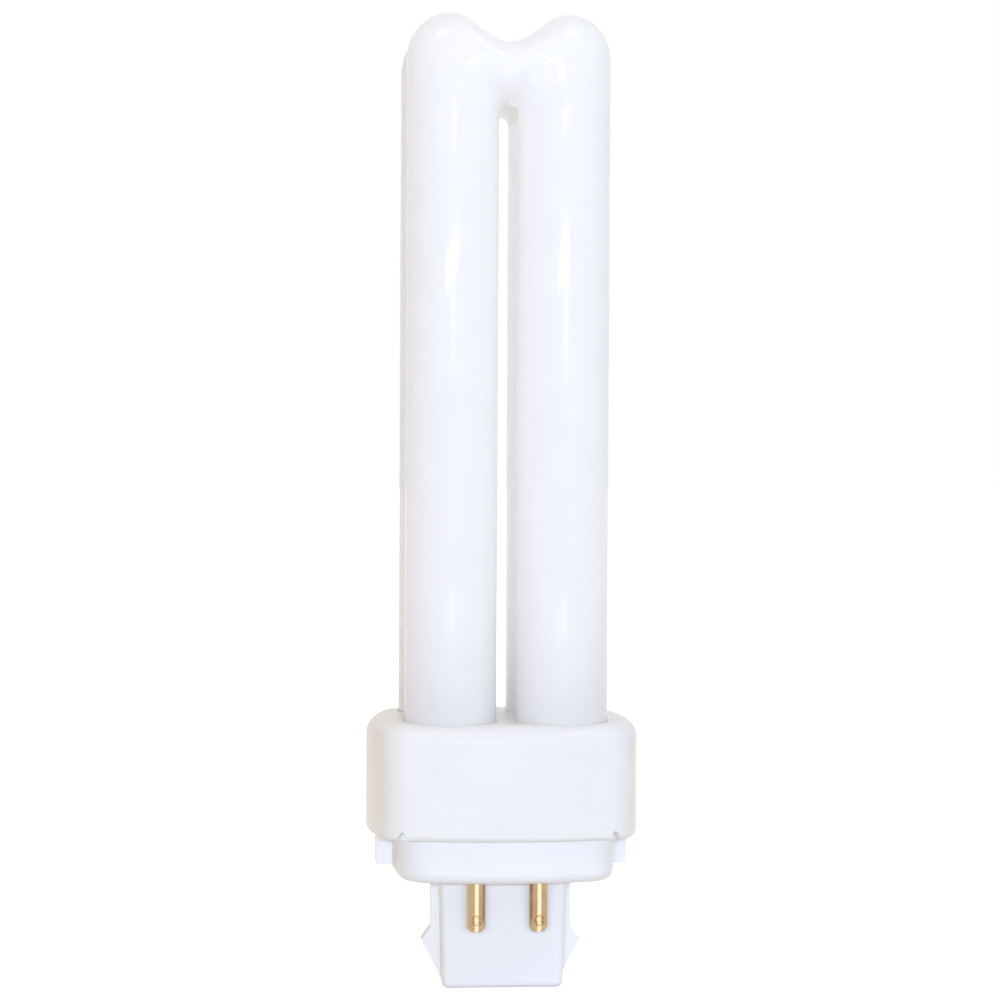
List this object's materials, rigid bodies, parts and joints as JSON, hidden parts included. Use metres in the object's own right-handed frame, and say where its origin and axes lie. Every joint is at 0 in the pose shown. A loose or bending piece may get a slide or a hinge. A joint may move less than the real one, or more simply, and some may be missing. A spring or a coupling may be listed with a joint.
{
  "type": "plug-in fluorescent bulb",
  "caption": "Compact plug-in fluorescent bulb: U-bent white glass tubes with saddle-shaped tops in a bowed plastic collar, on a stepped plug base with brass pins, key fins and a latching post.",
  "frame": {"origin": "on the lamp's axis, at the flat end of the plug post", "axes": "+Z along the lamp from the plug post to the glass crowns, +X across the width along the pin rows, the front with one pin row and one U-bend faces -Y"},
  "size_m": [0.0366, 0.0314, 0.1304],
  "materials": {
    "coated_glass": "clear glossy glass over a white coat, opaque",
    "collar_plastic": "moulded, satin gloss",
    "base_plastic": "moulded, satin gloss",
    "cement": "cast, matt",
    "pin_brass": "drawn tube, bright",
    "lead_wire": "drawn wire, plated"
  },
  "bodies": {
    "root": {"discharge_tube": "coated_glass", "collar": "collar_plastic", "plug_base": "base_plastic", "bonding_cement": "cement", "contact_pin_front_left": "pin_brass", "contact_pin_front_right": "pin_brass", "contact_pin_back_left": "pin_brass", "contact_pin_back_right": "pin_brass", "lead_wire_front_left": "lead_wire", "lead_wire_front_right": "lead_wire", "lead_wire_back_left": "lead_wire", "lead_wire_back_right": "lead_wire"}
  },
  "joints": []
}
